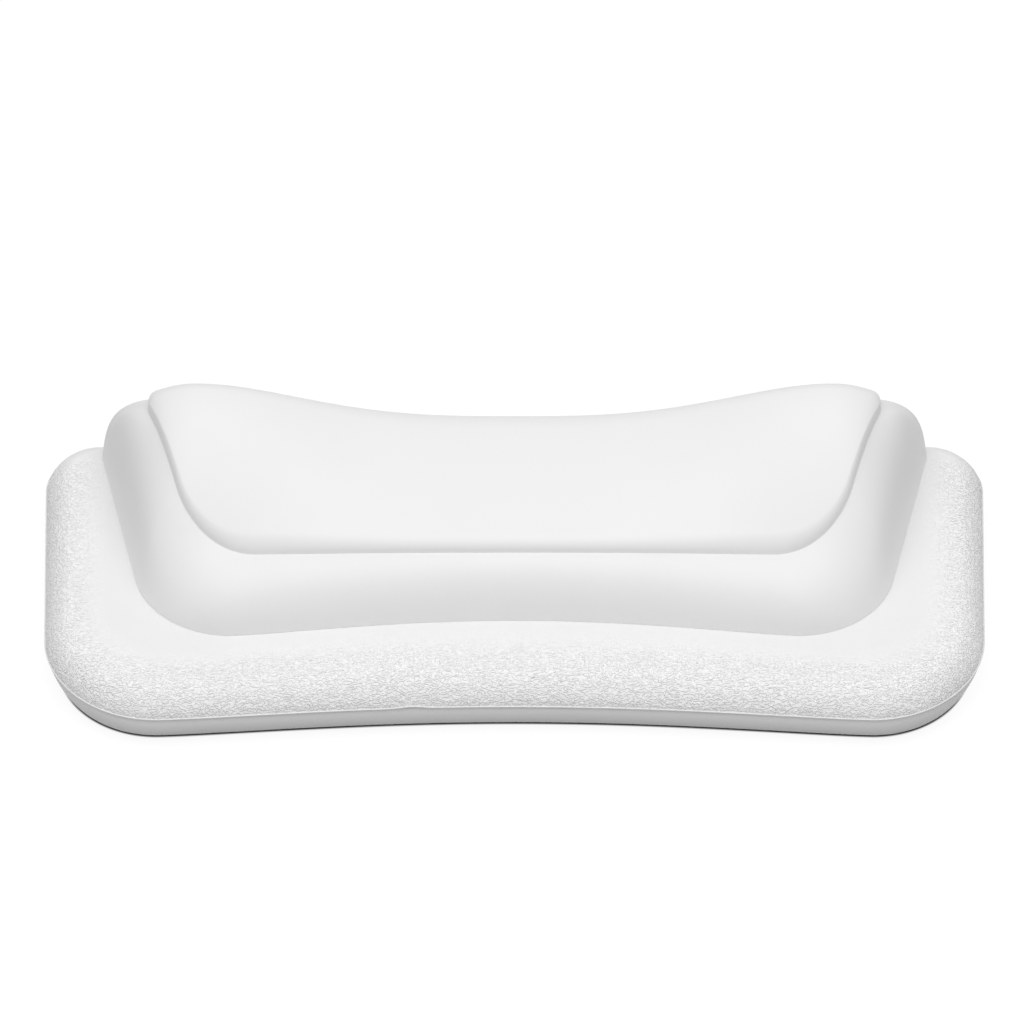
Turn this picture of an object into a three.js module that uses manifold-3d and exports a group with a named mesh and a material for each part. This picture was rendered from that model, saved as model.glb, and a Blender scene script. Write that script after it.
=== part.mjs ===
// Moulded polyurethane bath pillow. A wide grained flange carries a smooth neck roll with a
// raised face pad. Inside the flange a foam core surrounds a stiffening plate, and four
// suction cups turn in sockets that clip into that plate through pockets in the rear cover.
// Units are millimetres. +Z points from the bath wall to the head, +X runs along the pillow,
// and -Y is the lower edge, towards the shoulders. The cups' sealing lips lie on Z = 0.
import * as THREE from "three";
import { mergeVertices } from "three/addons/utils/BufferGeometryUtils.js";
import Module from "manifold-3d";

const wasm = await Module();
wasm.setup();

// Fits
const BOND_GAP = 0.3; // between pieces that are bonded or seated face to face
const TURN_GAP = 0.3; // between a suction cup's stem and its socket

// Base flange in plan
const BASE_LENGTH = 330;
const BASE_DEPTH = 132;
const BASE_FRONT_RADIUS = 39;
const BASE_BACK_RADIUS = 20;
const BASE_FRONT_HOLLOW = 6.5; // how far the lower edge bows in at the middle

// Base flange in section
const REAR_STANDOFF = 3; // the cups hold the rear face this far off the wall
const RIM_HEIGHT = 10; // smooth rim, from the rear face to the parting line
const RIM_ROUND = 4;
const FLANGE_RISE = 10; // from the parting line to the flange's top
const FLANGE_EDGE_RUN = 9; // width of the rounded edge at the front and the ends
const FLANGE_BACK_RUN = 8; // width of the rounded edge along the back
const FRONT_SKIN = 3;
const REAR_SKIN = 2.5;

// Neck roll: its foot is set in from the base's edges
const ROLL_BACK_SETBACK = 6.5;
const ROLL_FRONT_SETBACK = 32;
const ROLL_END_SETBACK_BACK = 18.5;
const ROLL_END_SETBACK_FRONT = 37;
const ROLL_FRONT_RADIUS = 34;
const ROLL_BACK_RADIUS = 4.7;
const ROLL_FRONT_HOLLOW = 7.5;
const ROLL_FOOT_EDGE = 0.5; // thin edge that shows as the crease round the roll
const ROLL_FRONT_HEIGHT = 18.8; // above the flange, along the pad's lower edge
const ROLL_DIP_HEIGHT = 25.8; // along the ridge, at the neck
const ROLL_LOBE_HEIGHT = 44.2; // along the ridge, at the two lobes
const ROLL_LOBE_INSET = 34; // from the roll's back end to the top of the lobe
const ROLL_LOBE_FALL = 48; // how far out from its top a lobe would fall to the dip's height
const ROLL_SIDE_ROUND = 20; // width of the end walls' rounding
const ROLL_BACK_ROUND = 19.5; // width of the back wall's rounding

// Face pad: its outline is set in from the roll's foot
const PAD_RISE = 3.5;
const PAD_EDGE_RUN = 4; // width of the rounded edge
const PAD_EDGE_DROP = 1.9; // height of the rounded edge, above a straight wall
const PAD_BACK_SETBACK = 6.5;
const PAD_FRONT_SETBACK = 21.3;
const PAD_END_SETBACK_BACK = 12;
const PAD_END_SETBACK_FRONT = 15.5;
const PAD_FRONT_RADIUS = 29;
const PAD_BACK_RADIUS = 12;

// Suction cups
const CUP_RADIUS = 22;
const CUP_LIP_WIDTH = 3;
const CUP_LIP_THICKNESS = 1;
const CUP_HEIGHT = 8;
const CUP_CROWN_THICKNESS = 3;
const CUP_SHOULDER_RADIUS = 9;
const CUP_END_INSET = 60; // cup axis from the base's end
const CUP_EDGE_INSET = 34; // cup axis from the base's front and back edges
const STEM_RADIUS = 4.3;
const HEAD_RADIUS = 6.2;
const HEAD_HEIGHT = 1.8;
const TAB_LENGTH = 7; // release tab beyond the lip
const TAB_WIDTH = 10;
const TAB_THICKNESS = 1.4;
const TAB_LIFT = 0.4; // keeps the tab clear of the wall

// Sockets, pockets and stiffening plate
const POCKET_CLEARANCE = 5; // room for the lip to spread
const POCKET_MOUTH_ROUND = 1;
const SOCKET_WALL = 2.1;
const SOCKET_FLANGE_RADIUS = 9;
const SOCKET_FLANGE_THICKNESS = 1.2;
const SOCKET_COLLAR_STEP = 1.1; // how far the snap collar stands out of the barrel
const SOCKET_COLLAR_HEIGHT = 1.2;
const PLATE_THICKNESS = 2.5;
const PLATE_MARGIN = 18; // from a socket's axis to the plate's edge
const PLATE_CORNER_RADIUS = 14;
const PLATE_KEY_RADIUS = 7; // holes that the foam grows through
const PLATE_KEY_COUNT = 5;
const PLATE_RIB_HEIGHT = 2;
const PLATE_RIB_WIDTH = 3;

// Levels that follow from the sizes above
const REAR_FACE_Z = REAR_STANDOFF;
const PARTING_Z = REAR_FACE_Z + RIM_HEIGHT;
const FLANGE_Z = PARTING_Z + FLANGE_RISE;
const ROLL_FOOT_Z = FLANGE_Z + BOND_GAP;
const SOCKET_Z = CUP_HEIGHT + TURN_GAP;
const POCKET_CEILING_Z = SOCKET_Z + SOCKET_FLANGE_THICKNESS + BOND_GAP;
const PLATE_Z = POCKET_CEILING_Z + REAR_SKIN + BOND_GAP;
const COLLAR_Z = PLATE_Z + PLATE_THICKNESS + BOND_GAP;
const SOCKET_TOP_Z = COLLAR_Z + SOCKET_COLLAR_HEIGHT;
const HEAD_Z = SOCKET_TOP_Z + TURN_GAP;
const HEAD_TOP_Z = HEAD_Z + HEAD_HEIGHT;

// Points along each stretch of an outline, from the middle of the front to the middle of the back
const FRONT_STEPS = 9;
const CORNER_STEPS = 7;
const SIDE_STEPS = 4;
const BACK_CORNER_STEPS = 4;
const BACK_STEPS = 9;
const ROUND_STEPS = 5; // rings over a rounded edge
const WALL_STEPS = 8; // rings up the roll's walls
const LATHE_STEPS = 28;
const BORE_STEPS = 20;

const PAD_ROUND_STEPS = 3;
const PROFILE_STEPS = 5; // along a suction cup's curves
const CROWN_RINGS = [0.85, 0.7, 0.55, 0.4, 0.2]; // rings over the pad, as shares of its outline

// Shapes of the curves
const FULL_WALL = 2; // exponent of the roll's back and of its crown: 2 is an ellipse, less is softer
const FRONT_WALL = 1.87; // exponent of the roll's front slope
const END_WALL_FRONT = 1.25; // exponent of the roll's ends, near its front
const END_WALL_BACK = 5.4; // exponent of the roll's ends, near its back
const FRONT_REACH = 1; // how much of its rounding a wall has passed where the pad starts
const END_REACH = 0.08;
const FOOT_FLARE = 0.16; // share of an end wall that curves out into its foot
const BOW_POWER = 1.4; // a bowed-in edge leaves its corners more slowly above 1
const LOBE_POWER = 1.48; // the neck dip is flatter above 1
const RIDGE_EASE = 0.5; // how much the crown's climb eases off towards the ridge

// A trapezoid with rounded corners and a bowed-in front edge, symmetric about X = 0.
// front and back are the Y of its edges, and the halves are its half lengths there.
const base = {
  front: -BASE_DEPTH / 2,
  back: BASE_DEPTH / 2,
  frontHalf: BASE_LENGTH / 2,
  backHalf: BASE_LENGTH / 2,
  frontRadius: BASE_FRONT_RADIUS,
  backRadius: BASE_BACK_RADIUS,
  hollow: BASE_FRONT_HOLLOW,
};

const rollFoot = {
  front: base.front + ROLL_FRONT_SETBACK,
  back: base.back - ROLL_BACK_SETBACK,
  frontHalf: base.frontHalf - ROLL_END_SETBACK_FRONT,
  backHalf: base.backHalf - ROLL_END_SETBACK_BACK,
  frontRadius: ROLL_FRONT_RADIUS,
  backRadius: ROLL_BACK_RADIUS,
  hollow: ROLL_FRONT_HOLLOW,
};

const padEdge = {
  front: rollFoot.front + PAD_FRONT_SETBACK,
  back: rollFoot.back - PAD_BACK_SETBACK,
  frontHalf: rollFoot.frontHalf - PAD_END_SETBACK_FRONT,
  backHalf: rollFoot.backHalf - PAD_END_SETBACK_BACK,
  frontRadius: PAD_FRONT_RADIUS,
  backRadius: PAD_BACK_RADIUS,
  hollow: 0,
};

const padCentre = new THREE.Vector2(0, (padEdge.front + padEdge.back) / 2);

// The same outline moved in by a distance at its front, its ends and its back.
function inset(outline, front, ends = front, back = front) {
  return {
    ...outline,
    front: outline.front + front,
    back: outline.back - back,
    frontHalf: outline.frontHalf - ends,
    backHalf: outline.backHalf - ends,
    frontRadius: Math.max(outline.frontRadius - Math.max(front, ends), 1),
    backRadius: Math.max(outline.backRadius - Math.max(back, ends), 1),
  };
}

// Arc of the given radius tangent to the two sides that meet at a corner.
function cornerArc(before, corner, after, radius, steps) {
  const toBefore = before.clone().sub(corner).normalize();
  const toAfter = after.clone().sub(corner).normalize();
  const halfAngle = Math.acos(toBefore.dot(toAfter)) / 2;
  const bisector = toBefore.clone().add(toAfter).normalize();
  const centre = corner.clone().addScaledVector(bisector, radius / Math.sin(halfAngle));
  const start = corner.clone().addScaledVector(toBefore, radius / Math.tan(halfAngle)).sub(centre);
  const end = corner.clone().addScaledVector(toAfter, radius / Math.tan(halfAngle)).sub(centre);
  const arc = new THREE.EllipseCurve(centre.x, centre.y, radius, radius, start.angle(), end.angle());
  return arc.getPoints(steps);
}

// Points of an outline, counter-clockwise seen from +Z. Outlines sampled here match point for
// point, so a wall can be drawn between any two of them.
function outlinePoints(outline) {
  const { front, back, frontHalf, backHalf, frontRadius, backRadius, hollow } = outline;
  const frontCorner = new THREE.Vector2(frontHalf, front);
  const backCorner = new THREE.Vector2(backHalf, back);
  const frontMiddle = new THREE.Vector2(0, front);
  const backMiddle = new THREE.Vector2(0, back);
  const lower = cornerArc(frontMiddle, frontCorner, backCorner, frontRadius, CORNER_STEPS);
  const upper = cornerArc(frontCorner, backCorner, backMiddle, backRadius, BACK_CORNER_STEPS);
  const bowEnd = lower[0].x;
  const half = [];
  for (let i = 0; i < FRONT_STEPS; i++) {
    const x = (bowEnd * i) / FRONT_STEPS;
    half.push(new THREE.Vector2(x, front + hollow * (1 - (x / bowEnd) ** 2) ** BOW_POWER));
  }
  half.push(...lower);
  for (let i = 1; i < SIDE_STEPS; i++) {
    half.push(lower.at(-1).clone().lerp(upper[0], i / SIDE_STEPS));
  }
  half.push(...upper);
  for (let i = 1; i <= BACK_STEPS; i++) {
    half.push(upper.at(-1).clone().lerp(backMiddle, i / BACK_STEPS));
  }
  const mirrored = half.slice(1, -1).reverse();
  return [...half, ...mirrored.map((p) => new THREE.Vector2(-p.x, p.y))];
}

// A flat ring of points at one height, or with a height worked out at each point.
function ring(points, height) {
  const heightAt = typeof height === "function" ? height : () => height;
  return points.map((p, i) => new THREE.Vector3(p.x, p.y, heightAt(p.x, p.y, i)));
}

// Closed surface drawn through rings of equal count, from a first point to a last point.
// Each four-sided face is split along its shorter diagonal, so that a surface and its copy
// at another height fold alike.
function loft(first, rings, last) {
  const count = rings[0].length;
  const vertices = [first, ...rings.flat(), last];
  const at = (r, i) => 1 + r * count + (i % count);
  const faces = [];
  const addQuad = (a, b, c, d) => {
    const shorter = vertices[a].distanceTo(vertices[c]) < vertices[b].distanceTo(vertices[d]);
    faces.push(...(shorter ? [a, b, c, a, c, d] : [a, b, d, b, c, d]));
  };
  for (let i = 0; i < count; i++) {
    faces.push(0, at(0, i + 1), at(0, i));
    for (let r = 0; r + 1 < rings.length; r++) {
      addQuad(at(r, i), at(r, i + 1), at(r + 1, i + 1), at(r + 1, i));
    }
    faces.push(vertices.length - 1, at(rings.length - 1, i), at(rings.length - 1, i + 1));
  }
  const geometry = new THREE.BufferGeometry().setFromPoints(vertices);
  geometry.setIndex(faces);
  return geometry;
}

// Geometry to solid and back, for joining and cutting.
function solid(geometry) {
  const bare = new THREE.BufferGeometry();
  bare.setAttribute("position", geometry.getAttribute("position"));
  bare.setIndex(geometry.getIndex());
  const merged = mergeVertices(bare, 1e-4);
  return new wasm.Manifold(
    new wasm.Mesh({
      numProp: 3,
      vertProperties: new Float32Array(merged.getAttribute("position").array),
      triVerts: new Uint32Array(merged.getIndex().array),
    }),
  );
}

function geometryOf(manifold) {
  const mesh = manifold.getMesh();
  const geometry = new THREE.BufferGeometry();
  geometry.setAttribute("position", new THREE.BufferAttribute(mesh.vertProperties, 3));
  geometry.setIndex(new THREE.BufferAttribute(mesh.triVerts, 1));
  return geometry;
}

// A turned solid about Z. The profile is a list of [radius, height] pairs.
function turned(profile, steps = LATHE_STEPS) {
  const points = profile.map(([r, z]) => new THREE.Vector2(r, z));
  return new THREE.LatheGeometry(points, steps).rotateX(Math.PI / 2);
}

function turnedAt(profile, place, steps = LATHE_STEPS) {
  return turned(profile, steps).translate(place.x, place.y, 0);
}

function cylinderAt(radius, bottom, top, place, steps = LATHE_STEPS) {
  return turnedAt([[0, bottom], [radius, bottom], [radius, top], [0, top]], place, steps);
}

// Height of a rounded wall, from 0 at its foot to 1 where its rounding ends.
function wallRise(distance, fullness) {
  const left = 1 - THREE.MathUtils.clamp(distance, 0, 1);
  return (1 - left ** fullness) ** (1 / fullness);
}

// The four suction cups' places.
const cupX = base.frontHalf - CUP_END_INSET;
const cupY = BASE_DEPTH / 2 - CUP_EDGE_INSET;
const cupPlaces = [
  { name: "lower_left", x: -cupX, y: -cupY },
  { name: "lower_right", x: cupX, y: -cupY },
  { name: "upper_left", x: -cupX, y: cupY },
  { name: "upper_right", x: cupX, y: cupY },
];

const socketBore = STEM_RADIUS + TURN_GAP;
const socketRadius = socketBore + SOCKET_WALL;
const socketHole = socketRadius + BOND_GAP;
const pocketRadius = CUP_RADIUS + POCKET_CLEARANCE;

// Rings over the flange's rounded edge, from the parting line up to its flat top.
// offset moves the whole edge inwards and down, for the skin's inner face.
function flangeEdge(offset, foot) {
  const outer = inset(base, offset);
  const rise = FLANGE_Z - offset - foot;
  const rings = [];
  for (let i = 0; i <= ROUND_STEPS; i++) {
    const angle = (Math.PI / 2) * (i / ROUND_STEPS);
    const share = 1 - Math.cos(angle);
    const across = (FLANGE_EDGE_RUN - offset / 2) * share;
    const acrossBack = (FLANGE_BACK_RUN - offset / 2) * share;
    const points = outlinePoints(inset(outer, across, across, acrossBack));
    rings.push(ring(points, foot + rise * Math.sin(angle)));
  }
  return rings;
}

// Front cover: the grained skin over the flange, open below.
function frontCover() {
  const foot = PARTING_Z + BOND_GAP / 2;
  const outside = flangeEdge(0, foot);
  const inside = flangeEdge(FRONT_SKIN, foot).reverse();
  return loft(
    new THREE.Vector3(0, 0, FLANGE_Z - FRONT_SKIN),
    [...inside, ...outside],
    new THREE.Vector3(0, 0, FLANGE_Z),
  );
}

// Rear cover: a tray with a rounded rim and a round pocket for each suction cup.
function rearCover() {
  const top = PARTING_Z - BOND_GAP / 2;
  const floor = REAR_FACE_Z + REAR_SKIN;
  const rings = [];
  for (let i = 0; i <= ROUND_STEPS; i++) {
    const angle = (Math.PI / 2) * (i / ROUND_STEPS);
    const points = outlinePoints(inset(base, RIM_ROUND * (1 - Math.sin(angle))));
    rings.push(ring(points, REAR_FACE_Z + RIM_ROUND * (1 - Math.cos(angle))));
  }
  const inner = outlinePoints(inset(base, REAR_SKIN));
  const innerFloor = outlinePoints(inset(base, RIM_ROUND));
  rings.push(ring(outlinePoints(base), top), ring(inner, top));
  rings.push(ring(inner, REAR_FACE_Z + RIM_ROUND), ring(innerFloor, floor));
  const tray = loft(new THREE.Vector3(0, 0, REAR_FACE_Z), rings, new THREE.Vector3(0, 0, floor));
  let cover = solid(tray);
  for (const place of cupPlaces) {
    const housing = cylinderAt(pocketRadius + REAR_SKIN, floor, POCKET_CEILING_Z + REAR_SKIN, place);
    cover = cover.add(solid(housing)).subtract(solid(pocketCut(place)));
  }
  return geometryOf(cover);
}

// The room of one pocket: a straight recess with an eased mouth, and the socket's hole above it.
function pocketCut(place) {
  const below = REAR_FACE_Z - POCKET_MOUTH_ROUND;
  const mouth = pocketRadius + POCKET_MOUTH_ROUND;
  const profile = [
    [0, below],
    [mouth, below],
    [mouth, REAR_FACE_Z],
    [pocketRadius, REAR_FACE_Z + POCKET_MOUTH_ROUND],
    [pocketRadius, POCKET_CEILING_Z],
    [socketHole, POCKET_CEILING_Z],
    [socketHole, POCKET_CEILING_Z + 2 * REAR_SKIN],
    [0, POCKET_CEILING_Z + 2 * REAR_SKIN],
  ];
  return turnedAt(profile, place);
}

// Stiffening plate: a flat moulding with foam keys along its middle and two long ribs.
// grow widens it all round, for the slot that it leaves in the foam.
function plateSolid(grow = 0) {
  const halfLength = cupX + PLATE_MARGIN + grow;
  const halfWidth = cupY + PLATE_MARGIN + grow;
  const radius = PLATE_CORNER_RADIUS + grow;
  const outline = new THREE.Shape();
  outline.absarc(halfLength - radius, halfWidth - radius, radius, 0, Math.PI / 2);
  outline.absarc(radius - halfLength, halfWidth - radius, radius, Math.PI / 2, Math.PI);
  outline.absarc(radius - halfLength, radius - halfWidth, radius, Math.PI, 1.5 * Math.PI);
  outline.absarc(halfLength - radius, radius - halfWidth, radius, 1.5 * Math.PI, 2 * Math.PI);
  const keyPitch = (2 * cupX) / (PLATE_KEY_COUNT - 1);
  for (let i = 0; i < PLATE_KEY_COUNT; i++) {
    const hole = new THREE.Path();
    hole.absarc(i * keyPitch - cupX, 0, PLATE_KEY_RADIUS - grow, 0, 2 * Math.PI, true);
    outline.holes.push(hole);
  }
  const depth = PLATE_THICKNESS + 2 * grow;
  const slab = new THREE.ExtrudeGeometry(outline, { depth, bevelEnabled: false, curveSegments: 8 });
  let plate = solid(slab.translate(0, 0, PLATE_Z - grow));
  const ribLength = 2 * (cupX - PLATE_MARGIN) + 2 * grow;
  const ribDepth = PLATE_RIB_HEIGHT + PLATE_THICKNESS;
  for (const side of [-1, 1]) {
    const rib = new THREE.BoxGeometry(ribLength, PLATE_RIB_WIDTH + 2 * grow, ribDepth);
    const ribTop = PLATE_Z + ribDepth + grow;
    plate = plate.add(solid(rib.translate(0, side * cupY, ribTop - ribDepth / 2)));
  }
  return plate;
}

function stiffeningPlate() {
  let plate = plateSolid();
  const through = PLATE_Z + PLATE_THICKNESS;
  for (const place of cupPlaces) {
    const hole = cylinderAt(socketHole, PLATE_Z - PLATE_THICKNESS, through + PLATE_RIB_HEIGHT, place);
    plate = plate.subtract(solid(hole));
  }
  return geometryOf(plate);
}

// Base core: the foam between the covers, moulded round the pockets, the plate and the sockets.
function baseCore() {
  const bottom = REAR_FACE_Z + REAR_SKIN + BOND_GAP;
  const skin = FRONT_SKIN + BOND_GAP;
  const lower = outlinePoints(inset(base, RIM_ROUND + BOND_GAP));
  const waist = outlinePoints(inset(base, skin));
  const dome = flangeEdge(skin, PARTING_Z);
  const rings = [ring(lower, bottom), ring(waist, bottom + RIM_ROUND), ...dome];
  const slab = loft(
    new THREE.Vector3(0, 0, bottom),
    rings,
    new THREE.Vector3(0, 0, FLANGE_Z - skin),
  );
  let core = solid(slab).subtract(plateSolid(BOND_GAP));
  const housingRadius = pocketRadius + REAR_SKIN + BOND_GAP;
  const collarRoom = socketRadius + SOCKET_COLLAR_STEP + BOND_GAP;
  for (const place of cupPlaces) {
    const housing = cylinderAt(housingRadius, 0, PLATE_Z, place);
    const collar = cylinderAt(collarRoom, 0, HEAD_TOP_Z + BOND_GAP, place, BORE_STEPS);
    core = core.subtract(solid(housing)).subtract(solid(collar));
  }
  return geometryOf(core);
}

// The roll's crown over the flange, before the rounding of its ends and back: low along the
// front, and along the ridge high at the lobes with a dip for the neck between them.
function crownHeight(x, y) {
  const lobe = rollFoot.backHalf - ROLL_LOBE_INSET;
  const climbed = Math.min(Math.abs(x) / lobe, 1) ** LOBE_POWER;
  const fallen = Math.max(Math.abs(x) - lobe, 0) / ROLL_LOBE_FALL;
  const lobeShare = (Math.sin((Math.PI / 2) * climbed) * Math.cos((Math.PI / 2) * fallen)) ** 2;
  const ridge = ROLL_DIP_HEIGHT + (ROLL_LOBE_HEIGHT - ROLL_DIP_HEIGHT) * lobeShare;
  const ridgeY = rollFoot.back - ROLL_BACK_ROUND;
  const along = (y - padEdge.front) / (ridgeY - padEdge.front);
  const climb = (1 + RIDGE_EASE) * along - RIDGE_EASE * along ** 3;
  return ROLL_FRONT_HEIGHT + (ridge - ROLL_FRONT_HEIGHT) * climb;
}

// How far the roll's back has risen, from 0 at its foot to 1 along the ridge.
function backRounding(y) {
  return wallRise((rollFoot.back - y) / ROLL_BACK_ROUND, FULL_WALL);
}

// The roll's surface inside the pad's outline.
function rollTop(x, y) {
  const share = (rollFoot.back - y) / (rollFoot.back - rollFoot.front);
  const end = THREE.MathUtils.lerp(rollFoot.backHalf, rollFoot.frontHalf, share);
  const ends = wallRise((end - Math.abs(x)) / ROLL_SIDE_ROUND, FULL_WALL);
  return ROLL_FOOT_Z + crownHeight(x, y) * ends * backRounding(y);
}

// Rings over a crowned top, from just inside an outline towards its middle.
function crownRings(points, heightAt) {
  return CROWN_RINGS.map((share) => {
    const drawnIn = points.map((p) => p.clone().sub(padCentre).multiplyScalar(share).add(padCentre));
    return ring(drawnIn, heightAt);
  });
}

function crownPoint(heightAt) {
  return new THREE.Vector3(padCentre.x, padCentre.y, heightAt(padCentre.x, padCentre.y));
}

// Neck roll: a steep back, ends that flare into their foot, a soft front slope, and the crown
// under the pad.
function neckRoll() {
  const foot = outlinePoints(rollFoot);
  const edge = outlinePoints(padEdge);
  const low = ROLL_FOOT_Z + ROLL_FOOT_EDGE;
  const walls = [];
  for (let k = 0; k <= WALL_STEPS; k++) {
    const share = 1 - Math.cos((Math.PI / 2) * (k / WALL_STEPS));
    const points = foot.map((p, i) => p.clone().lerp(edge[i], share));
    walls.push(
      ring(points, (x, y, i) => {
        const high = rollTop(edge[i].x, edge[i].y);
        const fall = Math.min(backRounding(y) / backRounding(edge[i].y), 1);
        return low + (high - low) * wallShare(share, fall, foot, i);
      }),
    );
  }
  const bottom = ring(foot, ROLL_FOOT_Z);
  const rings = [bottom, ...walls, ...crownRings(edge, rollTop)];
  return loft(new THREE.Vector3(padCentre.x, padCentre.y, ROLL_FOOT_Z), rings, crownPoint(rollTop));
}

// How far a wall has risen at a share of its width, from 0 at its foot to 1 at the pad.
// fall is what the rounding of the back takes off an end wall there.
function wallShare(share, fall, foot, i) {
  const { lerp, inverseLerp } = THREE.MathUtils;
  const facing = wallFacing(foot, i);
  const towardsBack = inverseLerp(rollFoot.front, rollFoot.back, foot[i].y);
  const endWall = lerp(END_WALL_FRONT, END_WALL_BACK, towardsBack);
  const frontFullness = (FRONT_WALL - FULL_WALL) * facing.front;
  const fullness = FULL_WALL + frontFullness + (endWall - FULL_WALL) * facing.end;
  const reach = lerp(END_REACH, FRONT_REACH, facing.front);
  const rise = wallRise(share * reach, fullness) / wallRise(reach, fullness);
  const flare = (share / Math.hypot(share, FOOT_FLARE)) * Math.hypot(1, FOOT_FLARE);
  return rise * lerp(1, flare * fall, facing.end);
}

// How far an outline faces the front edge and an end, each from 0 to 1. Both are 0 at the back.
function wallFacing(points, i) {
  const before = points.at(i - 1);
  const after = points[(i + 1) % points.length];
  const along = after.clone().sub(before).normalize();
  return { front: Math.max(along.x, 0) ** 2, end: along.y ** 2 };
}

// Face pad: a thin cushion that follows the roll's crown, with a rounded edge.
function facePad() {
  const edge = outlinePoints(padEdge);
  const under = (x, y) => rollTop(x, y) + BOND_GAP;
  const over = (x, y) => rollTop(x, y) + PAD_RISE;
  const rounded = [];
  for (let k = 0; k <= PAD_ROUND_STEPS; k++) {
    const angle = (Math.PI / 2) * (k / PAD_ROUND_STEPS);
    const points = outlinePoints(inset(padEdge, PAD_EDGE_RUN * (1 - Math.cos(angle))));
    const drop = PAD_EDGE_DROP * (1 - Math.sin(angle));
    rounded.push(ring(points, (x, y) => over(x, y) - drop));
  }
  const topPoints = outlinePoints(inset(padEdge, PAD_EDGE_RUN));
  const underRings = [ring(edge, under), ...crownRings(edge, under)].reverse();
  const rings = [...underRings, ...rounded, ...crownRings(topPoints, over)];
  return loft(crownPoint(under), rings, crownPoint(over));
}

// Socket: a bush with a flange against the pocket's ceiling and a snap collar above the plate.
function socket() {
  const flangeTop = SOCKET_Z + SOCKET_FLANGE_THICKNESS;
  const collar = socketRadius + SOCKET_COLLAR_STEP;
  return turned(
    [
      [socketBore, SOCKET_Z],
      [SOCKET_FLANGE_RADIUS, SOCKET_Z],
      [SOCKET_FLANGE_RADIUS, flangeTop],
      [socketRadius, flangeTop],
      [socketRadius, COLLAR_Z],
      [collar, COLLAR_Z],
      [socketRadius, SOCKET_TOP_Z],
      [socketBore, SOCKET_TOP_Z],
      [socketBore, SOCKET_Z],
    ],
    BORE_STEPS,
  );
}

// Suction cup: a dished cup with a flat sealing lip, a stem with a mushroom head, and a
// release tab on the lip. outward is the sign of X that the tab points to.
function suctionCup(outward) {
  const dish = new THREE.QuadraticBezierCurve(
    new THREE.Vector2(0, CUP_HEIGHT - CUP_CROWN_THICKNESS),
    new THREE.Vector2(CUP_RADIUS / 2, CUP_HEIGHT - CUP_CROWN_THICKNESS),
    new THREE.Vector2(CUP_RADIUS - CUP_LIP_WIDTH, 0),
  );
  const back = new THREE.QuadraticBezierCurve(
    new THREE.Vector2(CUP_RADIUS, CUP_LIP_THICKNESS),
    new THREE.Vector2((CUP_RADIUS + CUP_SHOULDER_RADIUS) / 2, CUP_HEIGHT - CUP_LIP_THICKNESS),
    new THREE.Vector2(CUP_SHOULDER_RADIUS, CUP_HEIGHT),
  );
  const cup = new THREE.LatheGeometry(
    [
      ...dish.getPoints(PROFILE_STEPS),
      new THREE.Vector2(CUP_RADIUS, 0),
      ...back.getPoints(PROFILE_STEPS),
      new THREE.Vector2(STEM_RADIUS, CUP_HEIGHT),
      new THREE.Vector2(STEM_RADIUS, HEAD_Z),
      new THREE.Vector2(HEAD_RADIUS, HEAD_Z),
      new THREE.Vector2(STEM_RADIUS, HEAD_TOP_Z),
      new THREE.Vector2(0, HEAD_TOP_Z),
    ],
    LATHE_STEPS,
  ).rotateX(Math.PI / 2);
  const start = CUP_RADIUS - CUP_LIP_WIDTH / 2;
  const tongueEnd = CUP_RADIUS + TAB_LENGTH - TAB_WIDTH / 2;
  const tongue = new THREE.Shape();
  tongue.moveTo(start, -TAB_WIDTH / 2);
  tongue.lineTo(tongueEnd, -TAB_WIDTH / 2);
  tongue.absarc(tongueEnd, 0, TAB_WIDTH / 2, -Math.PI / 2, Math.PI / 2);
  tongue.lineTo(start, TAB_WIDTH / 2);
  const tabShape = { depth: TAB_THICKNESS, bevelEnabled: false, curveSegments: 6 };
  const tab = new THREE.ExtrudeGeometry(tongue, tabShape).translate(0, 0, TAB_LIFT);
  if (outward < 0) tab.rotateZ(Math.PI);
  return geometryOf(solid(cup).add(solid(tab)));
}

// Finishes: white moulded skins, a pale plastic inside and clear-white cups.
function finish(color, roughness) {
  return new THREE.MeshStandardMaterial({ color, roughness, metalness: 0 });
}

const pillow = new THREE.Group();
pillow.name = "bath_pillow";

function place(name, geometry, material, x = 0, y = 0) {
  const mesh = new THREE.Mesh(geometry, material);
  mesh.name = name;
  mesh.position.set(x, y, 0);
  pillow.add(mesh);
}

place("rear_cover", rearCover(), finish(0xe6e6e4, 0.5));
place("base_core", baseCore(), finish(0xf1ecd8, 0.95));
place("stiffening_plate", stiffeningPlate(), finish(0xd2d4d3, 0.45));
place("front_cover", frontCover(), finish(0xf3f3f2, 0.6));
place("neck_roll", neckRoll(), finish(0xf4f4f3, 0.5));
place("face_pad", facePad(), finish(0xf5f5f4, 0.5));
for (const spot of cupPlaces) {
  place(`socket_${spot.name}`, socket(), finish(0xdedfdd, 0.4), spot.x, spot.y);
  const cup = suctionCup(Math.sign(spot.x));
  place(`suction_cup_${spot.name}`, cup, finish(0xe9edee, 0.2), spot.x, spot.y);
}

export default pillow;
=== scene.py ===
"""Moulded polyurethane bath pillow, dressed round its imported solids."""

import math

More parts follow.
